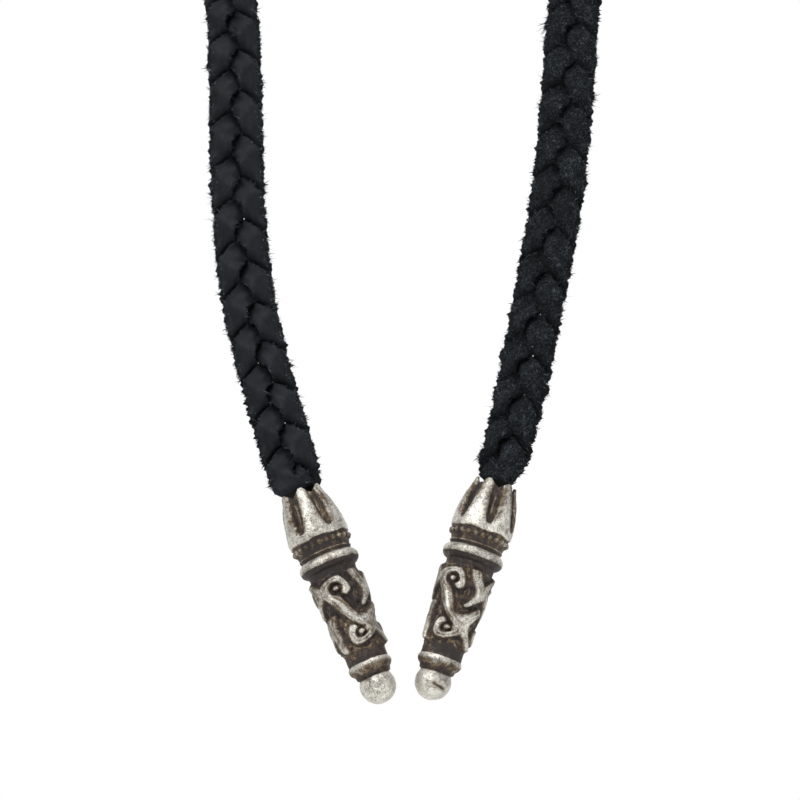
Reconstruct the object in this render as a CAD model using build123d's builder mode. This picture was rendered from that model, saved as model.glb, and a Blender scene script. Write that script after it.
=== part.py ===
from build123d import *
import os
from bisect import bisect_left
from math import cos, hypot, pi, radians, sin, sqrt

# A necklace plaited from three flat leather laces, with a cast silver tip on each end of the braid.
# It is held in the form it has when worn: up the left leg of the front, round the neck and down the right.
# Origin at the nape, on the middle of the braid. X to the viewer's right, Y backwards, Z up. Millimetres.

# Laces
lace_width = 3.0
lace_thickness = 1.0
lace_names = ("lace_a", "lace_b", "lace_c")
wave_length = 17.5
sections_per_wave = 12

# How a lace moves through one wave of the plait
swing = 0.763 * lace_width
swing_flatness = 0.09
lift = 0.95 * lace_thickness
tilt = 0.29 * lace_width
tilt_fifth = -0.08 * lace_width
bow = -0.1 * lace_width
bow_twice = -0.13 * lace_width
lip = 0.1 * lace_width
narrowing = 0.15
narrowing_twice = -0.04

# Laces inside a tip, where the plait is squeezed into a bundle
grip_length = 1.0
slowing_length = 2.0
squeeze_length = grip_length + slowing_length
bundle_step = 0.75
bundle_stack = 1.15 * lace_thickness

# Socket in a tip
socket_clearance = 0.15
socket_depth = 8.2
socket_end_gap = 0.6
bundle_radius = hypot(bundle_step + lace_width / 2, bundle_stack)
socket_radius = bundle_radius + socket_clearance

# Cast tip
tip_length = 30.5
rim_wall = 0.3
mouth_radius = socket_radius + rim_wall
petal_count = 6
groove_length = 6.4
groove_half_width = 1.25
groove_overshoot = 0.6
groove_standout = 0.5
groove_runout = 0.08
pellet_count = 24
pellet_radius = 0.36
pellet_turn = 3
scroll_count = 3
scroll_relief = 0.55
scroll_fade = 0.7
ridge_width = 0.9
boss_radius = 0.42
ball_radius = 2.4
left_turn = 2
right_turn = 18.5

# Outline of the tip from the petals' points to the ball, the body without its relief.
# along is a share of tip_length, radius a share of mouth_radius.
tip_outline = {
    # name: (radius, along)
    "mouth": (1.00, 0.000),
    "shoulder": (1.08, 0.054),
    "flank": (1.32, 0.144),
    "belly": (1.39, 0.216),
    "pellets": (1.32, 0.265),
    "cup_base": (1.20, 0.308),
    "ring_top": (1.14, 0.320),
    "ring_edge": (1.37, 0.351),
    "ring_foot": (1.10, 0.384),
    "body_top": (1.07, 0.402),
    "body_middle": (0.96, 0.585),
    "body_foot": (0.75, 0.775),
    "collar_top": (0.76, 0.800),
    "collar_edge": (1.00, 0.833),
    "collar_foot": (0.78, 0.868),
}
neck_share = 0.72

# A groove between two petals: three-sided sections that narrow and grow shallow towards the belly.
groove_sections = [
    # down as a share of groove_length, half width as a share of groove_half_width, floor of mouth_radius
    (0.00, 1.00, 0.35),
    (0.34, 0.68, 0.80),
    (0.70, 0.36, 1.12),
]

# Strokes of one scroll panel, drawn flat as seen from outside with the ball downwards.
# across is a share of the body's greatest radius, down a share of its length.
scroll_stem = {
    # end: (across, down)
    "upper": (-0.50, 0.28),
    "lower": (0.44, 0.70),
}
scroll_curls = {
    # end: (radius as a share of the body's greatest radius, sweep in degrees)
    "upper": (0.44, -245),
    "lower": (0.39, -245),
}
leaves = [
    # start across, down, middle across, down, end across, down
    (0.66, 0.05, 0.80, 0.28, 0.62, 0.47),
    (-0.62, 0.52, -0.72, 0.74, -0.42, 0.95),
]
leaf_width = 0.75

# The middle of the braid, from the left tip's mouth round the neck to the right tip's mouth.
# compass and rise turn the laces' smooth side: 270 faces the viewer, 90 faces away, a rise of 90 faces up.
braid_route = [
    # x, y, z, compass, rise
    (-13.54, -123.2, -119.17, 270, 0),
    (-14.28, -122.81, -117.35, 270, 0),
    (-14.95, -122.3, -114.6, 270, 0),
    (-16.0, -121.3, -110.9, 270, 0),
    (-18.15, -119.5, -104.0, 270, 0),
    (-20.1, -117.5, -96.0, 270, 0),
    (-21.4, -115.5, -88.0, 270, 0),
    (-22.0, -113.5, -80.0, 270, 0),
    (-22.3, -111.3, -71.3, 270, 0),
    (-22.4, -109.0, -62.0, 268, 0),
    (-22.9, -106.4, -53.8, 262, 4),
    (-24.9, -102.0, -45.2, 250, 10),
    (-30.2, -94.8, -37.2, 235, 20),
    (-39.0, -83.0, -29.5, 218, 25),
    (-46.5, -67.0, -23.0, 200, 25),
    (-49.5, -48.0, -16.5, 180, 20),
    (-46.0, -29.0, -10.5, 155, 15),
    (-36.0, -12.5, -5.0, 130, 12),
    (-19.0, -2.2, -1.0, 108, 10),
    (0.0, 0.7, 0.2, 90, 10),
    (19.0, -2.2, -1.0, 72, 10),
    (36.0, -12.5, -5.0, 50, 10),
    (46.0, -29.0, -10.5, 24, 6),
    (49.5, -48.0, -16.5, 10, -6),
    (46.5, -67.0, -23.0, 20, -14),
    (39.0, -83.0, -29.5, 33, -24),
    (30.2, -94.8, -37.2, 48, -32),
    (24.9, -102.0, -45.2, 64, -30),
    (23.1, -106.4, -53.8, 74, -20),
    (22.6, -109.0, -62.0, 78, -10),
    (21.9, -111.0, -70.0, 78, 0),
    (21.05, -113.1, -78.6, 76, 0),
    (19.5, -115.3, -87.3, 72, 0),
    (17.65, -117.6, -96.6, 68, 0),
    (16.15, -119.6, -104.3, 64, 0),
    (14.9, -121.2, -109.6, 61, 0),
    (13.73, -122.44, -114.32, 60, 0),
    (12.54, -123.2, -118.0, 60, 0),
]
spline_degree = 3
steps_per_span = 40


def place_of(row):
    return Vector(row[0], row[1], row[2])


def facing_of(row):
    compass = radians(row[3])
    rise = radians(row[4])
    return Vector(cos(compass) * cos(rise), sin(compass) * cos(rise), sin(rise))


def with_socket_ends(rows):
    """The route's control points and facings, run on in a straight line to the end of each socket."""
    places = [place_of(row) for row in rows]
    facings = [facing_of(row) for row in rows]
    reach = socket_depth - socket_end_gap
    into_left = (places[0] - places[1]).normalized()
    into_right = (places[-1] - places[-2]).normalized()
    left = [places[0] + into_left * (reach * share) for share in (1, 0.5)]
    right = [places[-1] + into_right * (reach * share) for share in (0.5, 1)]
    places = left + places + right
    facings = [facings[0]] * 2 + facings + [facings[-1]] * 2
    return places, facings


def on_spline(controls, t):
    """A point of the clamped cubic spline that the control points hold, t counted in spans."""
    spans = len(controls) - spline_degree
    span = min(int(t), spans - 1)

    def knot(index):
        return min(max(index - spline_degree, 0), spans)

    work = list(controls[span:span + spline_degree + 1])
    for level in range(1, spline_degree + 1):
        for index in range(spline_degree, level - 1, -1):
            low = knot(span + index)
            high = knot(span + index + spline_degree + 1 - level)
            share = (t - low) / (high - low)
            work[index] = work[index - 1] * (1 - share) + work[index] * share
    return work[-1]


places, facings = with_socket_ends(braid_route)
span_count = len(places) - spline_degree
route_steps = [step / steps_per_span for step in range(span_count * steps_per_span + 1)]
route_points = [on_spline(places, t) for t in route_steps]
route_lengths = [0.0]
for before, after in zip(route_points, route_points[1:]):
    route_lengths.append(route_lengths[-1] + (after - before).length)
route_length = route_lengths[-1]
plait_start = socket_depth - socket_end_gap
plait_length = route_length - 2 * plait_start


def frame_at(length):
    """The route's point, its direction, and the braid's across and outward directions there."""
    high = min(max(bisect_left(route_lengths, length), 1), len(route_lengths) - 1)
    low_length = route_lengths[high - 1]
    share = (length - low_length) / (route_lengths[high] - low_length)
    t = route_steps[high - 1] + share / steps_per_span
    nudge = 0.5 / steps_per_span
    ahead = on_spline(places, min(t + nudge, span_count))
    behind = on_spline(places, max(t - nudge, 0))
    along = (ahead - behind).normalized()
    facing = on_spline(facings, t)
    outward = (facing - along * facing.dot(along)).normalized()
    across = outward.cross(along)
    return on_spline(places, t), along, across, outward


def ease(share):
    share = min(max(share, 0), 1)
    return share * share * (3 - 2 * share)


def eased_distance(distance):
    """How far the plait's wave has come, this far from a mouth, past the grip where it stands still."""
    share = min(max((distance - grip_length) / slowing_length, 0), 1)
    return slowing_length * (share ** 3 - share ** 4 / 2) + max(distance - squeeze_length, 0)


def wave_distance(length):
    start = length - plait_start
    if start < plait_length / 2:
        return eased_distance(start)
    return wave_total - eased_distance(plait_length - start)


wave_total = 2 * eased_distance(plait_length / 2)
# A whole number of crossings, so that the laces reach both mouths lying like shingles.
crossings_per_wave = 2 * len(lace_names)
crossings = round(crossings_per_wave * wave_total / wave_length)
fitted_wave = crossings_per_wave * wave_total / crossings


def lace_section(lace, length):
    """The eight corners of a lace's section, in the braid's section at this length of the route."""
    distance = wave_distance(length)
    phase = pi / 3 + 2 * pi * lace / len(lace_names) - 2 * pi * distance / fitted_wave
    from_mouth = min(length - plait_start, route_length - plait_start - length)
    free = ease(from_mouth / squeeze_length)
    rate = 2 * pi / fitted_wave * ease((from_mouth - grip_length) / slowing_length)
    swing_here = swing * free + bundle_step / sin(pi / 3) * (1 - free)
    lift_here = lift * free ** 2 + bundle_stack / sin(pi / 3) * (1 - free ** 2)
    middle = swing_here * (sin(phase) + swing_flatness * free * sin(3 * phase))
    slope = swing_here * rate * (cos(phase) + 3 * swing_flatness * free * cos(3 * phase))
    height = lift_here * sin(2 * phase)
    height_slope = 2 * lift_here * rate * cos(2 * phase)
    edge_tilt = free * (tilt * cos(3 * phase) + tilt_fifth * cos(5 * phase))
    section_bow = free * (bow * sin(2 * phase) + bow_twice * sin(4 * phase))
    edge_lip = free * lip * cos(phase)
    narrow = free * (narrowing * (cos(2 * phase) - 1) / 2 + narrowing_twice * (cos(4 * phase) - 1) / 2)
    half_width = lace_width / 2 * (1 + narrow) * sqrt(1 + slope ** 2)
    half_thickness = lace_thickness / 2 * sqrt(1 + height_slope ** 2)
    point, along, across, outward = frame_at(length)
    corners = []
    for share, side in lace_outline:
        rise = height + edge_tilt * share + section_bow * (share ** 2 - 1 / 3)
        rise += edge_lip * (share ** 3 - 0.6 * share) + half_thickness * side
        corners.append(point + across * (middle + half_width * share) + outward * rise)
    return corners


# Corners of a lace's section: share of its half width, and of its half thickness.
lace_outline = [
    (-1, 0),
    (-0.55, -0.94),
    (0, -1),
    (0.55, -0.94),
    (1, 0),
    (0.55, 0.94),
    (0, 1),
    (-0.55, 0.94),
]


def section_lengths():
    """Where the laces' sections stand: close in the squeezed ends, then evenly through each wave."""
    squeezed = [0, plait_start]
    squeezed += [plait_start + squeeze_length * share for share in (0.15, 0.3, 0.45, 0.6, 0.75, 0.9)]
    step = fitted_wave / sections_per_wave
    lag = squeeze_length - slowing_length / 2
    step_count = round(wave_total / step)
    free = [plait_start + lag + step * index for index in range(1, step_count)]
    mirrored = [route_length - length for length in reversed(squeezed)]
    return squeezed + free + mirrored


def lace_solid(lace):
    """A lace as a closed solid of flat facets between its sections."""
    sections = [lace_section(lace, length) for length in section_lengths()]
    corner_count = len(lace_outline)
    facets = []
    for near, far in zip(sections, sections[1:]):
        for index in range(corner_count):
            after = (index + 1) % corner_count
            facets.append((near[index], near[after], far[after]))
            facets.append((near[index], far[after], far[index]))
    for end in (sections[0], sections[-1]):
        for index in range(1, corner_count - 1):
            facets.append((end[0], end[index], end[index + 1]))
    faces = [Face(Wire.make_polygon(corners, close=True)) for corners in facets]
    return Solid(Shell(faces))


def outline(name, relief=0):
    """A named point of the tip's outline, as radius and distance from the mouth."""
    radius, along = tip_outline[name]
    return (radius * mouth_radius + relief, along * tip_length)


ball_centre = tip_length - ball_radius
neck_radius = neck_share * mouth_radius

body_radius = outline("body_top")[0]
body_start = outline("body_top")[1]
body_length = outline("body_foot")[1] - body_start


def on_panel(across, down):
    return (across * body_radius, -down * body_length)


# The turned core of the tip, with the socket that the braid's end is glued in
with BuildPart() as tip_core:
    with BuildSketch(Plane.XZ) as tip_profile:
        with BuildLine():
            Line((socket_radius, socket_depth), (socket_radius, 0))
            Line((socket_radius, 0), outline("mouth"))
            Line(outline("mouth"), outline("shoulder"))
            ThreePointArc(outline("shoulder"), outline("flank"), outline("belly"))
            ThreePointArc(outline("belly"), outline("pellets"), outline("cup_base"))
            Line(outline("cup_base"), outline("ring_top"))
            ThreePointArc(outline("ring_top"), outline("ring_edge"), outline("ring_foot"))
            Line(outline("ring_foot"), outline("body_top"))
            ThreePointArc(outline("body_top"), outline("body_middle"), outline("body_foot"))
            Line(outline("body_foot"), outline("collar_top"))
            ThreePointArc(outline("collar_top"), outline("collar_edge"), outline("collar_foot"))
            Line(outline("collar_foot"), (neck_radius, ball_centre))
            Line((neck_radius, ball_centre), (0, ball_centre))
            Line((0, ball_centre), (0, socket_depth))
            Line((0, socket_depth), (socket_radius, socket_depth))
        make_face()
    revolve(axis=Axis.Z)
    with Locations((0, 0, ball_centre)):
        Sphere(ball_radius)

# The dark groove between two petals: a three-sided point that runs out on the belly
belly_radius = outline("belly")[0]
groove_outer_radius = belly_radius + groove_standout
with BuildPart() as petal_groove:
    for down, width, floor in groove_sections:
        with BuildSketch(Plane.XY.offset(down * groove_length - groove_overshoot * (1 - down))):
            with BuildLine():
                floor_radius = floor * mouth_radius
                surface_radius = mouth_radius + (belly_radius - mouth_radius) * sin(pi / 2 * down)
                opening = (groove_outer_radius - floor_radius) / (surface_radius - floor_radius)
                half_width = width * groove_half_width * opening
                Polyline(
                    (floor_radius, 0),
                    (groove_outer_radius, half_width),
                    (groove_outer_radius, -half_width),
                    close=True,
                )
            make_face()
    groove_end = Vertex(belly_radius + groove_runout, 0, groove_length)
    loft(sections=[*petal_groove.pending_faces, groove_end], ruled=True)

# Room for the relief: the body's outline, as much larger as the scrolls stand out
with BuildPart() as relief_room:
    with BuildSketch(Plane.XZ) as room_profile:
        with BuildLine():
            top_radius, top_along = outline("body_top", scroll_relief)
            foot_radius, foot_along = outline("body_foot", scroll_relief)
            room_top = (top_radius, top_along + scroll_fade)
            room_foot = (foot_radius, foot_along - scroll_fade)
            Polyline((0, top_along), outline("body_top"), room_top)
            ThreePointArc(room_top, outline("body_middle", scroll_relief), room_foot)
            Polyline(room_foot, outline("body_foot"), (0, foot_along), (0, top_along))
        make_face()
    revolve(axis=Axis.Z)

# One panel of scrollwork: an S with a curl and a boss at each end, and a leaf on each side of it
panel_plane = Plane(origin=(0, 0, body_start), x_dir=(1, 0, 0), z_dir=(0, 1, 0))
with BuildPart() as scroll_panel:
    with BuildSketch(panel_plane) as scroll_strokes:
        upper = Vector(*on_panel(*scroll_stem["upper"]))
        lower = Vector(*on_panel(*scroll_stem["lower"]))
        curls = {}
        for end, start, away in (("upper", upper, upper - lower), ("lower", lower, lower - upper)):
            share, sweep = scroll_curls[end]
            with BuildLine():
                curls[end] = JernArc(start, away, share * body_radius, sweep)
            trace(line_width=ridge_width)
            with Locations(curls[end].arc_center):
                Circle(boss_radius)
        with BuildLine():
            Line(upper, lower)
        trace(line_width=ridge_width)
        for leaf in leaves:
            with BuildLine():
                ThreePointArc(on_panel(*leaf[0:2]), on_panel(*leaf[2:4]), on_panel(*leaf[4:6]))
            trace(line_width=leaf_width)
    extrude(amount=body_radius + 2 * scroll_relief)
    add(relief_room.part, mode=Mode.INTERSECT)

# The whole casting, its mouth at the origin and its ball along Z
with BuildPart() as casting:
    # The core's seam lies in the middle of a petal, clear of the grooves.
    add(tip_core.part, rotation=(0, 0, 180 / petal_count))
    with PolarLocations(0, petal_count):
        add(petal_groove.part, mode=Mode.SUBTRACT)
    with PolarLocations(0, scroll_count):
        add(scroll_panel.part)
    pellet_ring_radius, pellet_along = outline("pellets")
    with Locations((0, 0, pellet_along)):
        with PolarLocations(pellet_ring_radius, pellet_count, start_angle=pellet_turn):
            Sphere(pellet_radius)


def tip_plane(mouth, behind, turn):
    """Where a tip stands: at the braid's mouth point, along its last stretch, turned about itself."""
    axis = (mouth - behind).normalized()
    sideways = (Vector(1, 0, 0) - axis * axis.X).normalized()
    turned = sideways * cos(radians(turn)) + axis.cross(sideways) * sin(radians(turn))
    return Plane(origin=mouth, x_dir=turned, z_dir=axis)


mouth_places = [place_of(row) for row in braid_route]

os.makedirs("parts", exist_ok=True)

with BuildPart() as tip_left:
    add(casting.part.moved(tip_plane(mouth_places[0], mouth_places[1], left_turn).location))
tip_left.part.label = "tip_left"
export_step(tip_left.part, "parts/tip_left.step")

with BuildPart() as tip_right:
    add(casting.part.moved(tip_plane(mouth_places[-1], mouth_places[-2], right_turn).location))
tip_right.part.label = "tip_right"
export_step(tip_right.part, "parts/tip_right.step")

print("tip volume", round(tip_left.part.volume, 1), "solids", len(tip_left.part.solids()))

for lace, lace_name in enumerate(lace_names):
    with BuildPart() as strand:
        add(lace_solid(lace), clean=False)
    strand.part.label = lace_name
    export_step(strand.part, f"parts/{lace_name}.step")
    print(lace_name, "volume", round(strand.part.volume, 1), "sections", len(section_lengths()))

print("braid from mouth to mouth", round(plait_length, 1))
print("whole necklace", round(plait_length + 2 * tip_length, 1))
print("wave", round(fitted_wave, 3), "crossings", crossings)
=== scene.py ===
import bmesh
import bpy
import math
import random
import numpy as np
from mathutils import Matrix, Vector, noise


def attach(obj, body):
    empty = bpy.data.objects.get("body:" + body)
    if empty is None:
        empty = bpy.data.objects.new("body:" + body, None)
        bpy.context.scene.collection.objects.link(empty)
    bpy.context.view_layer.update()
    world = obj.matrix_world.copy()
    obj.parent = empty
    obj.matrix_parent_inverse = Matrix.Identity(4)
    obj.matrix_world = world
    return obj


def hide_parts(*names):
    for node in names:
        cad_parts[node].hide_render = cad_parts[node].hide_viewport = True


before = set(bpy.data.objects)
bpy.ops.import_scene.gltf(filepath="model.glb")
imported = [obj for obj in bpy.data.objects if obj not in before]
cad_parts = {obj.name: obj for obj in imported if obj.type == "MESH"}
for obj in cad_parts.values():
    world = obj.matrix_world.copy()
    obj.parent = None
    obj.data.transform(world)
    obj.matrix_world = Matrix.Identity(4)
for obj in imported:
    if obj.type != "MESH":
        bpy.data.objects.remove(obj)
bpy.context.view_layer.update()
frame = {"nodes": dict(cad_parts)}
scene = bpy.context.scene
mm = 0.001
print("frame loaded:", ", ".join(frame["nodes"]))


# Small helpers

def linearColor(hexValue):
    channels = [int(hexValue[i:i + 2], 16) / 255 for i in (1, 3, 5)]
    return (*[c / 12.92 if c <= 0.04045 else ((c + 0.055) / 1.055) ** 2.4 for c in channels], 1)


def addNode(tree, kind, settings=None, inputs=None):
    # An input that is another node's socket is linked, and any other is set
    node = tree.nodes.new(kind)
    for key, value in (settings or {}).items():
        setattr(node, key, value)
    for key, value in (inputs or {}).items():
        if isinstance(value, bpy.types.NodeSocket):
            tree.links.new(value, node.inputs[key])
        else:
            node.inputs[key].default_value = value
    return node


def newMaterial(name):
    material = bpy.data.materials.new(name)
    material.use_nodes = True
    material.node_tree.nodes.clear()
    return material, material.node_tree


def finishMaterial(material, inputs):
    tree = material.node_tree
    shader = addNode(tree, "ShaderNodeBsdfPrincipled", inputs=inputs)
    addNode(tree, "ShaderNodeOutputMaterial", inputs={"Surface": shader.outputs[0]})
    return material


def ramp(tree, source, stops):
    node = addNode(tree, "ShaderNodeValToRGB", inputs={"Fac": source})
    while len(node.color_ramp.elements) < len(stops):
        node.color_ramp.elements.new(0.5)
    for element, (place, hexValue) in zip(node.color_ramp.elements, stops):
        element.position = place
        element.color = linearColor(hexValue)
    return node.outputs["Color"]


def attribute(tree, name):
    return addNode(tree, "ShaderNodeAttribute", {"attribute_name": name}).outputs["Fac"]


def objectPlace(tree):
    return addNode(tree, "ShaderNodeTexCoord").outputs["Object"]


def noiseAt(tree, place, size, detail, roughness=0.5, distortion=0):
    # Mottling in lumps about size across, in the unit of place
    inputs = {"Vector": place, "Scale": 1 / size, "Detail": detail, "Roughness": roughness,
              "Distortion": distortion}
    return addNode(tree, "ShaderNodeTexNoise", inputs=inputs).outputs["Fac"]


def calc(tree, operation, *terms):
    node = addNode(tree, "ShaderNodeMath", {"operation": operation}, dict(enumerate(terms)))
    return node.outputs["Value"]


def remap(tree, value, fromMin, fromMax, toMin=0, toMax=1):
    inputs = {"Value": value, "From Min": fromMin, "From Max": fromMax, "To Min": toMin, "To Max": toMax}
    return addNode(tree, "ShaderNodeMapRange", inputs=inputs).outputs["Result"]


def mixColors(tree, factor, first, second, blend="MIX"):
    settings = {"data_type": "RGBA", "blend_type": blend}
    inputs = {"Factor": factor, "A": first, "B": second}
    return addNode(tree, "ShaderNodeMix", settings, inputs).outputs["Result"]


def bumped(tree, height, strength, depth, under=None):
    # The normal over a bump depth mm high, which may lie on another bump
    inputs = {"Height": height, "Strength": strength, "Distance": depth * mm}
    if under is not None:
        inputs["Normal"] = under
    return addNode(tree, "ShaderNodeBump", inputs=inputs).outputs["Normal"]


def addObject(name, data):
    added = bpy.data.objects.new(name, data)
    scene.collection.objects.link(added)
    return added


def meshFrom(name, bm):
    mesh = bpy.data.meshes.new(name)
    bm.to_mesh(mesh)
    bm.free()
    return mesh


def placePiece(name, mesh, material, slotName, replaced=()):
    piece = addObject(name, mesh)
    mesh.materials.clear()
    mesh.materials.append(material)
    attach(piece, "root")
    if replaced:
        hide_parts(*replaced)
    print(name, "triangles", sum(len(p.vertices) - 2 for p in mesh.polygons))


def placeSmooth(name, bm, *rest):
    mesh = meshFrom(name, bm)
    mesh.shade_smooth()
    placePiece(name, mesh, *rest)


# Camera: level, in front of the hanging ends, through a long lens

photoView = {
    "lens": 253,  # mm
    "sensor": 36,
    "place": (-0.27, -865, -107.3),
    "farthest": 10,  # m
}

cameraData = bpy.data.cameras.new("camera")
cameraData.lens = photoView["lens"]
cameraData.sensor_width = photoView["sensor"]
cameraData.clip_end = photoView["farthest"]
camera = addObject("camera", cameraData)
camera.location = Vector(photoView["place"]) * mm
camera.rotation_euler = (math.radians(90), 0, 0)
scene.camera = camera


# The braid's route, as it lies in the frame

braid = {
    # x, y, z, compass, rise: the last two turn the laces' smooth side
    "route": [
        (-13.54, -123.2, -119.17, 270, 0), (-14.28, -122.81, -117.35, 270, 0),
        (-14.95, -122.3, -114.6, 270, 0), (-16.0, -121.3, -110.9, 270, 0), (-18.15, -119.5, -104.0, 270, 0),
        (-20.1, -117.5, -96.0, 270, 0), (-21.4, -115.5, -88.0, 270, 0),
        (-22.0, -113.5, -80.0, 270, 0), (-22.3, -111.3, -71.3, 270, 0), (-22.4, -109.0, -62.0, 268, 0),
        (-22.9, -106.4, -53.8, 262, 4), (-24.9, -102.0, -45.2, 250, 10), (-30.2, -94.8, -37.2, 235, 20),
        (-39.0, -83.0, -29.5, 218, 25), (-46.5, -67.0, -23.0, 200, 25), (-49.5, -48.0, -16.5, 180, 20),
        (-46.0, -29.0, -10.5, 155, 15), (-36.0, -12.5, -5.0, 130, 12), (-19.0, -2.2, -1.0, 108, 10),
        (0.0, 0.7, 0.2, 90, 10), (19.0, -2.2, -1.0, 72, 10), (36.0, -12.5, -5.0, 50, 10),
        (46.0, -29.0, -10.5, 24, 6), (49.5, -48.0, -16.5, 10, -6), (46.5, -67.0, -23.0, 20, -14),
        (39.0, -83.0, -29.5, 33, -24), (30.2, -94.8, -37.2, 48, -32), (24.9, -102.0, -45.2, 64, -30),
        (23.1, -106.4, -53.8, 74, -20), (22.6, -109.0, -62.0, 78, -10), (21.9, -111.0, -70.0, 78, 0),
        (21.05, -113.1, -78.6, 76, 0), (19.5, -115.3, -87.3, 72, 0), (17.65, -117.6, -96.6, 68, 0),
        (16.15, -119.6, -104.3, 64, 0), (14.9, -121.2, -109.6, 61, 0), (13.73, -122.44, -114.32, 60, 0),
        (12.54, -123.2, -118.0, 60, 0),
    ],
    "stepsPerSpan": 48,
    "waveLength": 17.5,  # mm, before it is fitted to the braid
    "socketReach": 7.6,  # mm that the laces run on into each tip
    "gripLength": 1.0,  # mm at each mouth where the plait stands still
    "slowingLength": 2.0,  # and over which it then reaches its full swing
    "bundleStep": 0.75,  # mm between the squeezed laces, across and through the bundle
    "bundleStack": 1.15,
}

lace = {
    "width": 3.0,
    "thickness": 1.0,
    "count": 3,
    # mm from the braid's middle, sideways and over and under; flatness squares the turns off
    "swing": 2.289,
    "swingFlatness": 0.09,
    "lift": 0.95,
    # mm of lean from edge to edge, and of arch between the edges
    "tilt": 0.87,
    "tiltFifth": -0.24,
    "bow": -0.3,
    "bowTwice": -0.39,
    "lip": 0.3,
    "narrowing": 0.15,  # share of the width that the turns take
    "narrowingTwice": -0.04,
    "sectionStep": 0.28,  # mm along the lace
    "around": 34,
    "edgePower": 0.62,  # how square the section is, at its edges and on its faces
    "facePower": 0.42,
    "crown": 0.1,
    "girth": 7.4,  # mm round the section
    "creaseDepth": 0.04,
    "napDepth": 0.13,
    "raggedDepth": 0.62,  # of the torn-looking cut edges
    "extraWidth": 0.115,  # mm each side: pressed wider than cut, which closes most gaps of the plait
    "extraThickness": 0.11,  # mm each face: swollen with wear, so that the laces bed on each other
    "unevenWidth": 0.09,
    "unevenPhase": 0.13,  # radians: some crossings sit a little higher or lower than others
    "unevenSpan": 6.5,
    "sunkenShade": 0.75,  # painted shade where a lace dips under its neighbours
    "sunkenHeight": 0.1,  # mm off the braid's middle where that starts to clear, and over how many more
    "sunkenFade": 0.8,
    "mouthSwell": 0.85,  # mm each side: the squeezed plait bulges over each tip's mouth
    "mouthSwellUp": 0.45,  # and this share of it on each face
    "mouthSwellStart": 0.6,
    "mouthSwellRise": 1.1,
    "seed": 11,
}


def nurbsPoints(controls):
    curve = bpy.data.curves.new("route", "CURVE")
    curve.dimensions = "3D"
    curve.resolution_u = braid["stepsPerSpan"]
    spline = curve.splines.new("NURBS")
    spline.points.add(len(controls) - 1)
    for point, place in zip(spline.points, controls):
        point.co = (*place, 1)
    spline.order_u = 4
    spline.use_endpoint_u = True
    holder = bpy.data.objects.new("route", curve)
    line = bpy.data.meshes.new_from_object(holder)
    points = np.array([vertex.co for vertex in line.vertices])
    bpy.data.objects.remove(holder)
    bpy.data.meshes.remove(line)
    bpy.data.curves.remove(curve)
    return points


def readRoute():
    places = [Vector(row[:3]) for row in braid["route"]]
    facings = []
    for row in braid["route"]:
        compass, rise = math.radians(row[3]), math.radians(row[4])
        level = math.cos(rise)
        facings.append(Vector((math.cos(compass) * level, math.sin(compass) * level, math.sin(rise))))
    reach = braid["socketReach"]
    left = (places[0] - places[1]).normalized()
    right = (places[-1] - places[-2]).normalized()
    places = [places[0] + left * reach, places[0] + left * reach / 2, *places]
    places += [places[-1] + right * reach / 2, places[-1] + right * reach]
    facings = [facings[0]] * 2 + facings + [facings[-1]] * 2
    points, outward = nurbsPoints(places), nurbsPoints(facings)
    steps = np.linalg.norm(np.diff(points, axis=0), axis=1)
    lengths = np.concatenate([[0], np.cumsum(steps)])
    along = np.gradient(points, lengths, axis=0)
    return points, along, outward, lengths


routePoints, routeAlong, routeOutward, routeLengths = readRoute()
routeLength = routeLengths[-1]
plaitLength = routeLength - 2 * braid["socketReach"]
print("braid from mouth to mouth", round(plaitLength, 1), "mm")


def unit(vectors):
    return vectors / np.linalg.norm(vectors, axis=-1, keepdims=True)


def framesAt(lengths):
    # The route's point, and the directions along it, across the braid and out of its face
    def mixed(values):
        return np.stack([np.interp(lengths, routeLengths, values[:, i]) for i in range(3)], axis=-1)
    along = unit(mixed(routeAlong))
    outward = mixed(routeOutward)
    outward = unit(outward - along * np.sum(outward * along, axis=-1, keepdims=True))
    return mixed(routePoints), along, np.cross(outward, along), outward


def easedShare(share):
    share = np.clip(share, 0, 1)
    return share * share * (3 - 2 * share)


squeezeLength = braid["gripLength"] + braid["slowingLength"]


def easedDistance(distance):
    share = np.clip((distance - braid["gripLength"]) / braid["slowingLength"], 0, 1)
    return braid["slowingLength"] * (share ** 3 - share ** 4 / 2) + np.maximum(distance - squeezeLength, 0)


waveTotal = 2 * float(easedDistance(plaitLength / 2))
crossingsPerWave = 2 * lace["count"]
crossings = round(crossingsPerWave * waveTotal / braid["waveLength"])
fittedWave = crossingsPerWave * waveTotal / crossings


def wander(lengths, span, seed):
    # A smooth random line along the braid, between -1 and 1
    draws = np.random.default_rng(seed).uniform(-1, 1, int(routeLength / span) + 4)
    place = lengths / span
    low = np.floor(place).astype(int)
    return draws[low] + (draws[low + 1] - draws[low]) * easedShare(place - low)


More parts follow.
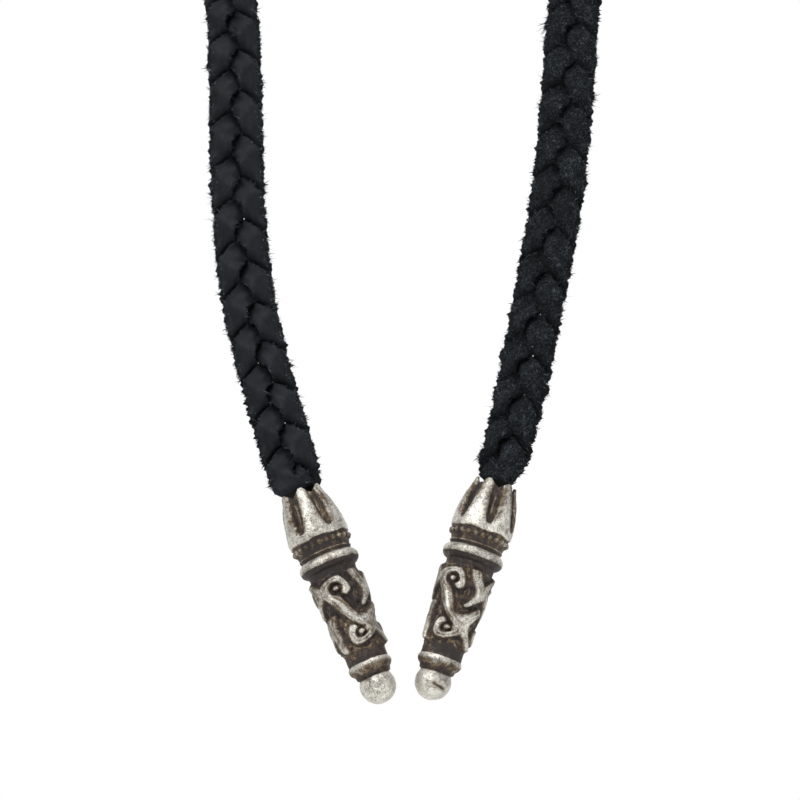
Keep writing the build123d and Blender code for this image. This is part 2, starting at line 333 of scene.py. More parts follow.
def lacePoints(index, lengths, share, side):
    # A lace's plain surface: share runs across it from edge to edge, side through its thickness
    start = lengths - braid["socketReach"]
    end = plaitLength - start
    distance = np.where(start < end, easedDistance(start), waveTotal - easedDistance(end))
    phase = math.pi / 3 + 2 * math.pi * index / lace["count"] - 2 * math.pi * distance / fittedWave
    fromMouth = np.minimum(start, end)
    free = easedShare(fromMouth / squeezeLength)
    phase = phase + free * lace["unevenPhase"] * wander(lengths, 2 * lace["unevenSpan"], lace["seed"])
    rate = 2 * math.pi / fittedWave * easedShare((fromMouth - braid["gripLength"]) / braid["slowingLength"])
    atMouth = math.sin(math.pi / 3)
    swing = lace["swing"] * free + braid["bundleStep"] / atMouth * (1 - free)
    lift = lace["lift"] * free ** 2 + braid["bundleStack"] / atMouth * (1 - free ** 2)
    flatness = lace["swingFlatness"] * free
    middle = swing * (np.sin(phase) + flatness * np.sin(3 * phase))
    slope = swing * rate * (np.cos(phase) + 3 * flatness * np.cos(3 * phase))
    heightSlope = 2 * lift * rate * np.cos(2 * phase)
    tilt = free * (lace["tilt"] * np.cos(3 * phase) + lace["tiltFifth"] * np.cos(5 * phase))
    bow = free * (lace["bow"] * np.sin(2 * phase) + lace["bowTwice"] * np.sin(4 * phase))
    narrow = lace["narrowing"] * (np.cos(2 * phase) - 1) / 2
    narrow = narrow + lace["narrowingTwice"] * (np.cos(4 * phase) - 1) / 2
    halfWidth = lace["width"] / 2 * (1 + free * narrow) * np.sqrt(1 + slope ** 2)
    uneven = wander(lengths, lace["unevenSpan"], lace["seed"] + 1 + index)
    halfWidth = halfWidth + free * (lace["extraWidth"] + lace["unevenWidth"] * uneven)
    swell = lace["mouthSwell"] * (1 - free)
    swell = swell * easedShare((fromMouth + lace["mouthSwellStart"]) / lace["mouthSwellRise"])
    halfWidth = halfWidth + swell
    halfThickness = (lace["thickness"] / 2 + lace["extraThickness"] * free) * np.sqrt(1 + heightSlope ** 2)
    halfThickness = halfThickness + lace["mouthSwellUp"] * swell
    height = lift * np.sin(2 * phase) + tilt * share + bow * (share ** 2 - 1 / 3)
    height = height + free * lace["lip"] * np.cos(phase) * (share ** 3 - 0.6 * share) + halfThickness * side
    point, _, across, outward = framesAt(lengths)
    return point + across * (middle + halfWidth * share)[..., None] + outward * height[..., None]


# Leather

def hairLines(tree, place, size, width):
    # 1 on thin wandering lines about size mm apart, 0 between them
    wandering = noiseAt(tree, place, size * mm, 2, distortion=1.2)
    apart = calc(tree, "ABSOLUTE", calc(tree, "SUBTRACT", wandering, 0.5))
    return remap(tree, apart, width, width / 3)


def leatherMaterial():
    # Black drum-dyed cowhide lace: a tight grain side with fine lengthwise creases and a faint cold
    # gloss, a matt grey-black suede side, and cut edges where pale undyed fibres break out
    material, tree = newMaterial("drum dyed cowhide lace")
    coordinates = addNode(tree, "ShaderNodeTexCoord")
    place = coordinates.outputs["Object"]
    suede, paintedShade = attribute(tree, "suede"), attribute(tree, "paintedShade")
    # creases 2.2 mm long and 0.16 mm apart, as the UV coordinates are mm along and round the lace
    lengthwise = addNode(tree, "ShaderNodeMapping", inputs={
        "Vector": coordinates.outputs["UV"], "Scale": (1 / 2.2, 1 / 0.16, 1)})
    creases = noiseAt(tree, lengthwise.outputs["Vector"], 1, 5, 0.6)
    pores = noiseAt(tree, place, 0.22 * mm, 3)
    clouds = noiseAt(tree, place, 2.4 * mm, 2)
    nap = noiseAt(tree, place, 0.3 * mm, 6, 0.75)
    threads = calc(tree, "MAXIMUM", hairLines(tree, place, 0.8, 0.028), hairLines(tree, place, 0.42, 0.03))
    grainColor = ramp(tree, creases, [(0.3, "#06080b"), (0.5, "#0b0e14"), (0.75, "#161a23")])
    napGround = ramp(tree, nap, [(0.36, "#020203"), (0.52, "#07090c"), (0.7, "#171b20")])
    napColor = mixColors(tree, threads, napGround, linearColor("#394147"))
    color = mixColors(tree, suede, grainColor, napColor)
    color = mixColors(tree, 1, color, remap(tree, clouds, 0.32, 0.68, 0.5, 1.5), "MULTIPLY")
    # painted shade: near black inside the tips, and darker where a lace dips under its neighbours
    color = mixColors(tree, paintedShade, color, linearColor("#050506"))
    normal = bumped(tree, creases, 0.5, 0.08)
    normal = bumped(tree, pores, 0.25, 0.03, normal)
    normal = bumped(tree, calc(tree, "ADD", nap, threads), suede, 0.16, normal)
    return finishMaterial(material, {
        "Base Color": color, "Roughness": remap(tree, suede, 0, 1, 0.6, 0.95),
        "Specular IOR Level": 0.2, "Normal": normal})


def fibreMaterial():
    # Loose hide fibres: dyed nearly black at the root, washed-out blue grey where the dye didn't take
    material, tree = newMaterial("raw hide fibre")
    stops = [(0.0, "#07090b"), (0.4, "#171b1f"), (0.7, "#394045"), (1.0, "#6f767b")]
    return finishMaterial(material, {
        "Base Color": ramp(tree, attribute(tree, "tint"), stops), "Roughness": 0.85,
        "Specular IOR Level": 0.15})


leather = leatherMaterial()
hideFibre = fibreMaterial()


def outlineOf(turn):
    # A flat lace with rounded cut edges: turn 0 to 1 runs over the grain side first
    angle = 2 * math.pi * turn
    share = math.copysign(abs(math.cos(angle)) ** lace["edgePower"], math.cos(angle))
    side = math.copysign(abs(math.sin(angle)) ** lace["facePower"], math.sin(angle))
    return share, side * (1 - lace["crown"] * share * share)


def laceNoise(index, length, share, side):
    # mm over the plain lace: creases on the grain, lumps on the suede and torn edges, each noise with
    # its own waves to the mm along and to the width across
    seed = lace["seed"] + 7.3 * index
    drift = noise.noise(Vector((length * 0.35, seed, share * 1.5)))
    line = noise.noise(Vector((share * 7 + drift * 1.6, length * 0.42, seed + 3)))
    crease = -lace["creaseDepth"] * max(0, 1 - abs(line) * 6)
    lump = noise.noise(Vector((length * 1.1, share * 2.2 + side, seed + 9))) * 0.6
    lump += noise.noise(Vector((length * 3.1, share * 5 + side * 2, seed + 17))) * 0.4
    torn = noise.noise(Vector((length * 3.1, side * 0.7, seed + 29))) * 0.9
    torn += noise.noise(Vector((length * 1.6, 5, seed))) * 0.5
    edge = abs(share) ** 8
    raw = max(-side, edge, 0)
    return crease * (1 - raw) + lump * lace["napDepth"] * (0.25 + raw) + torn * lace["raggedDepth"] * edge


def makeLace(index):
    name = "abc"[index]
    bm = bmesh.new()
    uvLayer = bm.loops.layers.uv.new("lace")
    sections = round(routeLength / lace["sectionStep"])
    bmesh.ops.create_grid(bm, x_segments=sections, y_segments=lace["around"], size=0.5, calc_uvs=True)
    suede = bm.verts.layers.float.new("suede")
    paintedShade = bm.verts.layers.float.new("paintedShade")
    bm.verts.ensure_lookup_table()
    flat = np.array([vertex.co for vertex in bm.verts])
    lengths = np.clip(flat[:, 0] + 0.5, 0, 1) * routeLength
    outlines = np.array([outlineOf(turn) for turn in np.clip(flat[:, 1] + 0.5, 0, 1)])
    share, side = outlines[:, 0], outlines[:, 1]

    def surface(sharePast=0, sidePast=0):
        return lacePoints(index, lengths, share + sharePast, side + sidePast)

    points = surface()
    nudge = 0.02
    toEdge = surface(nudge) - surface(-nudge)
    toFace = surface(0, nudge) - surface(0, -nudge)
    edgeward = (np.sign(share) * np.abs(share) ** 9)[:, None]
    normals = unit(unit(toEdge) * edgeward + unit(toFace) * side[:, None])
    inTip = np.minimum(lengths, routeLength - lengths) < braid["socketReach"] - 0.3
    middles, _, _, outward = framesAt(lengths)
    crest = np.abs(np.sum((points - middles) * outward, axis=-1))
    sunken = 1 - easedShare((crest - lace["sunkenHeight"]) / lace["sunkenFade"])
    rows = zip(bm.verts, points, normals, lengths, share, side, inTip, lace["sunkenShade"] * sunken)
    for vertex, point, normal, length, across, face, hidden, low in rows:
        lift = 0 if hidden else laceNoise(index, length, across, face)
        vertex.co = Vector(point + normal * lift) * mm
        vertex[suede] = min(1, max(abs(across) ** 7, 0.5 - 1.6 * face))
        # painted shade: black inside the tips, and darker where the lace dips under its neighbours
        vertex[paintedShade] = 1 if hidden else low
    for meshFace in bm.faces:
        for loop in meshFace.loops:
            loop[uvLayer].uv = (loop[uvLayer].uv[0] * routeLength, loop[uvLayer].uv[1] * lace["girth"])
    bmesh.ops.remove_doubles(bm, verts=bm.verts, dist=1e-7)
    ends = [edge for edge in bm.edges if edge.is_boundary]
    bmesh.ops.holes_fill(bm, edges=ends, sides=0)
    bmesh.ops.recalc_face_normals(bm, faces=bm.faces)
    placeSmooth(f"lace_{name}_leather", bm, leather, "black_leather", [f"lace_{name}"])


for laceIndex in range(lace["count"]):
    makeLace(laceIndex)


# Fibres that stand out of the cut edges and the suede side

fuzz = {
    "edgePerMm": 32,  # on each of a lace's two cut edges, where it lies on the braid's outside
    "innerShare": 0.15,  # of those that stay where the edge dips under the other laces
    "suedePerMm": 15,  # over the whole width of the suede side
    "strayPerMm": 36,  # lying on the grain, kept only along the braid's outsides
    # by kind: on the edges, over the suede, in torn tufts, astray on the grain
    "reach": (0.37, 0.5, 0.8, 0.3),  # mm, the middle length
    "root": (0.18, 0.1, 0.07, 0.1),  # mm, the width where it leaves the leather
    "paleness": (0.09, 0.15, 0.3, 0.25),
    "sink": 0.08,  # mm of root inside the leather
    # where roots lie, in half widths from the lace's middle and half thicknesses from its core
    "edgeBand": (0.76, 1.0),
    "edgeHeights": (-0.85, 0.85),
    "suedeBand": (-0.95, 0.95),
    "suedeHeight": -0.88,
    "strayBand": (0.4, 0.98),
    "tuftWidth": 0.3,  # mm along the edge
    "clearOfTip": 0.2,  # mm
    "outsideStart": 2.4,  # mm from the braid's middle, and over how many more the fuzz fills in
    "outsideFade": 0.7,
    "clumpStep": 0.5,  # mm between the places where edge fibres felt together
    "clumpWidth": 0.13,  # mm
    "clumpSpread": 0.42,  # how unlike in length they are
    "clumpLean": 0.6,
    "tuftSpacing": 5,  # mm between torn places on an edge
    "tuftFibres": 11,
    "seed": 5,
}
suedeKind, tuftKind, strayKind = 1, 2, 3  # and 0 for the edges, as in the rows of four above


def fibreShapes():
    # Unit-long spikes: a plain one for the short nap, and three bent ones for torn tufts
    shapes = bpy.data.collections.new("fibreShapes")
    draws = random.Random(fuzz["seed"])
    for number in range(4):
        bm = bmesh.new()
        bmesh.ops.create_cone(bm, cap_ends=True, segments=3, radius1=0.5, radius2=0, depth=1,
                              matrix=Matrix.Translation((0, 0, 0.5)))
        if number:
            bmesh.ops.bisect_plane(bm, geom=bm.verts[:] + bm.edges[:] + bm.faces[:], plane_co=(0, 0, 0.45),
                                   plane_no=(0, 0, 1))
            bend = draws.uniform(1.5, 5)
            for vertex in bm.verts:
                vertex.co.x += bend * vertex.co.z ** 2
        bmesh.ops.remove_doubles(bm, verts=bm.verts, dist=1e-4)
        name = f"fibre{number}"
        shapes.objects.link(bpy.data.objects.new(name, meshFrom(name, bm)))
    return shapes


def strewTree(shapes):
    # Stands one of the shapes on every point, by the point's own aim, size, spin and kind
    tree = bpy.data.node_groups.new("strewFibres", "GeometryNodeTree")
    for way in ("INPUT", "OUTPUT"):
        tree.interface.new_socket("Geometry", in_out=way, socket_type="NodeSocketGeometry")

    def stored(name, dataType):
        node = addNode(tree, "GeometryNodeInputNamedAttribute", {"data_type": dataType}, {"Name": name})
        return node.outputs["Attribute"]

    source = addNode(tree, "NodeGroupInput")
    upright = addNode(tree, "FunctionNodeAlignRotationToVector", {"axis": "Z"},
                      {"Vector": stored("aim", "FLOAT_VECTOR")})
    spin = addNode(tree, "ShaderNodeCombineXYZ", inputs={"Z": stored("spin", "FLOAT")})
    turned = addNode(tree, "FunctionNodeRotateRotation", {"rotation_space": "LOCAL"},
                     {"Rotation": upright.outputs["Rotation"], "Rotate By": spin.outputs["Vector"]})
    picked = addNode(tree, "GeometryNodeCollectionInfo", inputs={
        "Collection": shapes, "Separate Children": True, "Reset Children": True})
    strewn = addNode(tree, "GeometryNodeInstanceOnPoints", inputs={
        "Points": source.outputs["Geometry"], "Instance": picked.outputs["Instances"],
        "Pick Instance": True, "Instance Index": stored("kind", "INT"),
        "Rotation": turned.outputs["Rotation"], "Scale": stored("size", "FLOAT_VECTOR")})
    real = addNode(tree, "GeometryNodeRealizeInstances", inputs={"Geometry": strewn.outputs["Instances"]})
    addNode(tree, "NodeGroupOutput", inputs={"Geometry": real.outputs["Geometry"]})
    return tree


fibreTree = strewTree(fibreShapes())


def fuzzRoots(index, draws):
    # Where fibres stand: along both cut edges, over the suede side, in torn tufts and astray on the grain
    low = braid["socketReach"] + fuzz["clearOfTip"]
    high = routeLength - braid["socketReach"] - fuzz["clearOfTip"]
    span = high - low
    tuftCount = round(2 * span / fuzz["tuftSpacing"])
    kinds = np.repeat(range(4), (round(2 * span * fuzz["edgePerMm"]), round(span * fuzz["suedePerMm"]),
                                 tuftCount * fuzz["tuftFibres"], round(span * fuzz["strayPerMm"])))
    count = len(kinds)
    onEdge, onSuede, inTuft, astray = [kinds == kind for kind in range(4)]
    lengths = draws.uniform(low, high, count)
    edgeSign = np.where(draws.random(count) < 0.5, -1, 1)
    tuftMiddles = np.repeat(draws.uniform(low, high, tuftCount), fuzz["tuftFibres"])
    tuftMiddles += draws.normal(0, fuzz["tuftWidth"], len(tuftMiddles))
    lengths[inTuft] = np.clip(tuftMiddles, low, high)
    edgeSign[inTuft] = np.repeat(np.where(draws.random(tuftCount) < 0.5, -1, 1), fuzz["tuftFibres"])
    onSuedeShare = draws.uniform(*fuzz["suedeBand"], count)
    share = np.where(onSuede, onSuedeShare, edgeSign * draws.uniform(*fuzz["edgeBand"], count))
    side = np.where(onSuede, fuzz["suedeHeight"], draws.uniform(*fuzz["edgeHeights"], count))
    share[astray] = edgeSign[astray] * draws.uniform(*fuzz["strayBand"], astray.sum())
    side[astray] = 0.92 * (1 - np.abs(share[astray]) ** 3.2) ** 0.21  # just under the rounded grain side
    # edge fibres gather into clumps of one direction and length
    clumps = (lengths / fuzz["clumpStep"]).astype(int) * 2 + (edgeSign > 0)
    gathered = (clumps // 2 + 0.5) * fuzz["clumpStep"] + draws.normal(0, fuzz["clumpWidth"], count)
    lengths = np.clip(np.where(onEdge, gathered, lengths), low, high)
    clumpCount = clumps.max() + 1
    growth = np.where(onEdge, np.exp(draws.normal(0, fuzz["clumpSpread"], clumpCount))[clumps], 1)
    lean = np.where(onEdge, draws.normal(0, fuzz["clumpLean"], clumpCount)[clumps], 0)
    # most fibres show where the lace lies on the braid's outside
    middles, _, across, _ = framesAt(lengths)
    offMiddle = np.abs(np.sum((lacePoints(index, lengths, share, side) - middles) * across, axis=-1))
    outer = easedShare((offMiddle - fuzz["outsideStart"]) / fuzz["outsideFade"])
    chance = np.choose(kinds, (fuzz["innerShare"] + (1 - fuzz["innerShare"]) * outer, 1, 1, outer))
    kept = draws.random(count) < chance
    return [values[kept] for values in (kinds, lengths, edgeSign, share, side, growth, lean)]


def makeFuzz(index):
    name = "abc"[index]
    draws = np.random.default_rng(fuzz["seed"] + index)
    kinds, lengths, edgeSign, share, side, growth, lean = fuzzRoots(index, draws)
    count = len(kinds)
    roots = lacePoints(index, lengths, share, side)
    _, along, across, _ = framesAt(lengths)
    facing = np.where(kinds == strayKind, 0.2, -0.2)
    outOfEdge = unit(lacePoints(index, lengths, share + 0.05 * edgeSign, side) - roots)
    outOfFace = unit(lacePoints(index, lengths, share, side + facing) - roots)
    edgeAim = outOfEdge + outOfFace * draws.uniform(-0.9, 1.0, count)[:, None]
    edgeAim += along * (lean + draws.normal(-0.1, 0.6, count))[:, None]
    faceAim = outOfFace * draws.uniform(0.15, 0.8, count)[:, None]
    faceAim += along * draws.normal(0, 0.7, count)[:, None] + across * draws.normal(0, 0.7, count)[:, None]
    onFace = (kinds == suedeKind) | (kinds == strayKind)
    aims = unit(np.where(onFace[:, None], faceAim, edgeAim))
    reach = np.choose(kinds, fuzz["reach"]) * growth * np.exp(draws.normal(0, 0.25, count))
    width = np.choose(kinds, fuzz["root"]) * draws.uniform(0.6, 1.3, count)
    shape = np.where(kinds == tuftKind, draws.integers(1, 4, count), 0)
    tint = np.clip(draws.beta(1.3, 2.8, count) + np.choose(kinds, fuzz["paleness"]), 0, 1)
    points = bpy.data.meshes.new("fuzzRoots")
    points.vertices.add(count)
    points.vertices.foreach_set("co", ((roots - aims * fuzz["sink"]) * mm).astype(np.float32).ravel())
    sizes = np.stack([width, width, reach], axis=-1) * mm
    stored = {"aim": aims, "size": sizes, "spin": draws.uniform(0, 6.28, count), "tint": tint}
    for key, values in stored.items():
        kind, field = ("FLOAT_VECTOR", "vector") if values.ndim == 2 else ("FLOAT", "value")
        points.attributes.new(key, kind, "POINT").data.foreach_set(field, values.astype(np.float32).ravel())
    points.attributes.new("kind", "INT", "POINT").data.foreach_set("value", shape)
    holder = addObject("fuzzRoots", points)
    holder.modifiers.new("strew", "NODES").node_group = fibreTree
    shown = holder.evaluated_get(bpy.context.evaluated_depsgraph_get())
    mesh = bpy.data.meshes.new_from_object(shown)
    bpy.data.objects.remove(holder)
    placePiece(f"lace_{name}_fuzz", mesh, hideFibre, "black_leather")


for laceIndex in range(lace["count"]):
    makeFuzz(laceIndex)


# Cast tips

tip = {
    "length": 30.5,  # mm, from the petals' points to the end of the ball
    "mouthRadius": 2.977,
    "socketRadius": 2.677,
    "socketDepth": 8.2,
    "thinEdge": 0.06,  # wall left at the bottom of a groove
    "pointStart": 0.3,  # from the mouth down to the petals' points
    "pointBend": 0.25,  # the points are hammered inwards on to the braid, from bendLength down
    "bendLength": 2.6,
    "ballRadius": 2.4,
    "ballCenter": 28.1,
    "petals": 6,
    "grooveLength": 6.5,
    "grooveSides": (0.4, 1.1),  # over which share of its half width a groove's side rises
    "grooveLine": 0.2,  # height of the thin line along a groove's floor, its width and its ends in mm
    "lineWidth": 0.15,
    "lineStart": (1.6, 2.6),
    "lineEnd": (4.6, 5.6),
    "shoulderSides": (1.0, 1.9),  # the petal turns down beside the groove, in its half widths
    "shoulderEnd": (5.8, 6.8),
    "rimDip": 0.95,  # between two petals' points
    "rimDipWidth": 1.25,
    "petalCrown": 0.16,
    "petalEnd": (4.5, 6.9),
    "bandStart": 7.25,
    "bandEnd": 9.25,
    "bandDepth": 0.17,
    "bandScallop": 0.1,
    "pellets": 24,
    "pelletRadius": 0.36,
    "pelletTurn": 3,
    "panels": 3,
    "relief": 0.7,
    "traceHeight": 0.14,  # of the thin line at a ridge's foot, and its distance outside the ridge
    "traceOut": 0.3,
    "spineCut": 0.1,  # depth of the cut along its back, and its distance inside the ridge's edge
    "spineIn": 0.58,
    "scratchWidth": 0.1,
    "dentDepth": 0.16,  # on the ball
    "handWobble": 0.2,  # the scrolls were modelled freehand
    "collarTaper": 0.42,  # the lower ring draws in towards the ball
    "reliefFade": 0.7,
    "stemHalfWidth": 0.95,
    "curlHalfWidth": 0.72,
    "curlEndHalfWidth": 0.5,
    "bossRadius": 0.5,
    "rowStep": 0.105,
    "around": 200,
    "castingWaves": 0.075,
    "turns": {"left": 2, "right": 18.5},
    "seed": 23,
}

# The turned outline without its relief: radius as a share of the mouth's, along as a share of the length
tipOutline = {
    "mouth": (1.00, 0.000), "shoulder": (1.08, 0.054), "flank": (1.32, 0.144), "belly": (1.39, 0.216),
    "pellets": (1.32, 0.265), "cupBase": (1.20, 0.308), "ringTop": (1.14, 0.320), "ringEdge": (1.37, 0.351),
    "ringFoot": (1.10, 0.384), "bodyTop": (1.07, 0.402), "bodyMiddle": (0.96, 0.585),
    "bodyFoot": (0.75, 0.775), "collarTop": (0.76, 0.800), "collarEdge": (1.00, 0.833),
    "collarFoot": (0.78, 0.868), "neck": (0.69, 0.877),
}
outlineArcs = [("shoulder", "flank", "belly"), ("belly", "pellets", "cupBase"),
               ("ringTop", "ringEdge", "ringFoot"), ("bodyTop", "bodyMiddle", "bodyFoot"),
               ("collarTop", "collarEdge", "collarFoot")]
# Groove between two petals, a long drop: down as a share of its length, half width and depth in mm
grooveSections = [(0.00, 0.95, 0.55), (0.15, 0.92, 0.80), (0.40, 0.98, 1.00), (0.68, 0.92, 0.95),
                  (0.86, 0.72, 0.70), (0.96, 0.46, 0.35), (1.00, 0.20, 0.0)]
# A dent on each ball: its ends across and up from the ball's middle as seen in front, its width in mm and
# how dark it is. The left one is a rubbed flat, the right one a black scratch.
ballDents = {"left": ((-1.4, 1.0), (-1.0, 0.0), 0.6, 0.5), "right": ((0.1, 0.0), (1.35, -0.85), 0.26, 0.9)}
# One panel of scrollwork, across as a share of the body's radius, down as a share of its length
scrollStem = {"upper": (-0.50, 0.28), "lower": (0.44, 0.70)}
# radius as a share of the body's, sweep in degrees, share of the radius left at the curl's end
scrollCurls = {"upper": (0.44, 265, 0.78), "lower": (0.39, 265, 0.78)}
# Comma leaves: three points of the arc, half width at its head and tail in mm, height of the crest
leaves = [
    ((0.66, 0.05), (0.80, 0.28), (0.62, 0.47), 0.8, 0.4, 1.0),
    ((-0.62, 0.52), (-0.72, 0.74), (-0.42, 0.95), 0.8, 0.4, 1.0),
    ((0.16, 0.30), (0.34, 0.40), (0.40, 0.56), 0.22, 0.14, 0.55),
    ((-0.30, 0.48), (-0.14, 0.62), (0.02, 0.68), 0.22, 0.14, 0.55),
    ((-0.86, 0.16), (-0.98, 0.34), (-0.82, 0.48), 0.3, 0.16, 0.6),
    ((0.84, 0.62), (0.90, 0.76), (0.74, 0.90), 0.3, 0.16, 0.6),
    ((0.06, 0.76), (0.12, 0.86), (0.28, 0.94), 0.26, 0.14, 0.6),
    ((-0.10, 0.14), (0.10, 0.10), (0.28, 0.06), 0.26, 0.14, 0.6),
]


def onOutline(name):
    radius, along = tipOutline[name]
    return np.array((radius * tip["mouthRadius"], along * tip["length"]))


def arcThrough(first, middle, last, step):
    # Points of the arc from first to last, the last one left out
    (ax, ay), (bx, by), (cx, cy) = first, middle, last
    scale = 2 * (ax * (by - cy) + bx * (cy - ay) + cx * (ay - by))
    a, b, c = [x * x + y * y for x, y in (first, middle, last)]
    center = np.array(((a * (by - cy) + b * (cy - ay) + c * (ay - by)) / scale,
                       (a * (cx - bx) + b * (ax - cx) + c * (bx - ax)) / scale))
    radius = math.dist(first, center)
    start, via, end = [math.atan2(y - center[1], x - center[0]) for x, y in (first, middle, last)]
    sweep = (end - start) % (2 * math.pi)
    if (via - start) % (2 * math.pi) > sweep:
        sweep -= 2 * math.pi
    count = max(2, round(abs(sweep) * radius / step))
    turns = [start + sweep * i / count for i in range(count)]
    return [center + radius * np.array((math.cos(turn), math.sin(turn))) for turn in turns]


def straight(first, last, step):
    count = max(1, round(math.dist(first, last) / step))
    return [first + (last - first) * i / count for i in range(count)]


def turnedOutline():
    # Outside of the casting from the mouth to the end of the ball
    step = tip["rowStep"]
    points, names, place = [], list(tipOutline), 0
    arcs = {arc[0]: arc for arc in outlineArcs}
    while place < len(names) - 1:
        piece = arcs.get(names[place], names[place:place + 2])
        follow = arcThrough if len(piece) == 3 else straight
        points += follow(*map(onOutline, piece), step)
        place += len(piece) - 1
    neck = onOutline("neck")
    radius = tip["ballRadius"]
    start = math.asin(neck[0] / radius)
    count = round((math.pi - start) * radius / step)
    turns = [start + (math.pi - start) * i / count for i in range(count + 1)]
    ball = [np.array((radius * math.sin(turn), tip["ballCenter"] - radius * math.cos(turn)))
            for turn in turns]
    onBall = np.array((neck[0], ball[0][1]))
    return np.array(points + straight(neck, onBall, step) + ball)


outside = turnedOutline()
bodyRadius, bodyStart = onOutline("bodyTop")
bodyLength = onOutline("bodyFoot")[1] - bodyStart


def smoothStep(low, high, values):
    return easedShare((values - low) / (high - low))


def grooveAt(angles, radii, along):
    # Depth of the grooves between the petals: a channel with sloping sides and a thin line on its floor
    down, widths, depths = np.array(grooveSections).T
    halfWidth = np.interp(along, down * tip["grooveLength"], widths)
    deepest = np.interp(along, down * tip["grooveLength"], depths)
    fromMiddle = np.abs(radii * turnFrom(angles, tip["petals"]))
    slope = 1 - smoothStep(*tip["grooveSides"], fromMiddle / halfWidth)
    line = np.exp(-(fromMiddle / tip["lineWidth"]) ** 2) * smoothStep(*tip["lineStart"], along)
    line *= 1 - smoothStep(*tip["lineEnd"], along)
    inLength = 1 - smoothStep(tip["grooveLength"] - 0.3, tip["grooveLength"], along)
    shoulder = 1 - smoothStep(*tip["shoulderSides"], fromMiddle / halfWidth)
    shoulder *= 1 - smoothStep(*tip["shoulderEnd"], along)
    return deepest * slope * inLength, line, slope * inLength, shoulder


def turnFrom(angles, count, first=0):
    # Angle from the nearest of count equally spaced places round the axis
    pitch = 2 * math.pi / count
    return (angles - first + pitch / 2) % pitch - pitch / 2


def rimOf(angles):
    # How far down the rim dips between two petals' points
    fromMiddle = np.abs(turnFrom(angles, tip["petals"])) * tip["mouthRadius"]
    return tip["pointStart"] + tip["rimDip"] * np.clip(1 - fromMiddle / tip["rimDipWidth"], 0, 1) ** 0.8


def panelStrokes():
    # One panel's ridges as points across and down from the body's top in mm, their half widths and heights
    scale = np.array((bodyRadius, bodyLength))
    upper, lower = np.array(scrollStem["upper"]) * scale, np.array(scrollStem["lower"]) * scale
    swell = np.sin(np.linspace(0, math.pi, 40))
    widths = tip["curlHalfWidth"] + (tip["stemHalfWidth"] - tip["curlHalfWidth"]) * swell
    rows = [np.column_stack([np.linspace(upper, lower, 40), widths, np.ones(40)])]
    for end, start, other in (("upper", upper, lower), ("lower", lower, upper)):
        radius, sweep, left = scrollCurls[end]
        radius *= bodyRadius
        away = (start - other) / math.dist(start, other)
        center = start + radius * np.array((-away[1], away[0]))
        share = np.linspace(0, 1, 60)
        first = math.atan2(start[1] - center[1], start[0] - center[0])
        turn = first + math.radians(sweep) * share
        reach = radius * (1 - (1 - left) * share ** 2)
        widths = tip["curlHalfWidth"] + (tip["curlEndHalfWidth"] - tip["curlHalfWidth"]) * share
        x, y = center[0] + reach * np.cos(turn), center[1] + reach * np.sin(turn)
        rows.append(np.column_stack([x, y, widths, np.ones(60)]))
        rows.append(np.array([(*center, tip["bossRadius"], 1.0)]))
    for *arc, head, tail, crest in leaves:
        line = np.array(arcThrough(*(np.array(arc) * scale), 0.12))
        widths = np.linspace(head, tail, len(line))
        rows.append(np.column_stack([line, widths, np.full(len(line), crest)]))
    return np.concatenate(rows)


strokes = panelStrokes()


def scrollHeight(angles, radii, along):
    # 0 on the ground to 1 on a ridge's crest, a thin line along each ridge's foot and a cut on its back
    height, trace, spine = np.zeros((3, len(angles)))
    for panel in range(tip["panels"]):
        local = angles - 2 * math.pi * panel / tip["panels"]
        facing = np.flatnonzero(np.sin(local) > -0.1)
        across, down = radii[facing] * np.cos(local[facing]), along[facing] - bodyStart
        across, down = (across + tip["handWobble"] * np.sin(down * 1.3 + 2 * panel),
                        down + tip["handWobble"] * np.sin(across * 1.6 + down * 0.5 + panel))
        best, nearest = np.zeros(len(facing)), np.full(len(facing), 9.0)
        for x, y, halfWidth, crest in strokes:
            apart = np.hypot(across - x, down - y)
            best = np.maximum(best, crest * np.clip(1 - (apart / halfWidth) ** 2, 0, 1) ** 0.6)
            nearest = np.minimum(nearest, apart - halfWidth)
        height[facing] = np.maximum(height[facing], best)
        fromTrace = (nearest - tip["traceOut"]) / tip["scratchWidth"]
        fromSpine = (nearest + tip["spineIn"]) / tip["scratchWidth"]
        trace[facing] = np.maximum(trace[facing], np.exp(-fromTrace ** 2))
        spine[facing] = np.maximum(spine[facing], np.exp(-fromSpine ** 2))
    return height, trace * (height < 0.05), spine


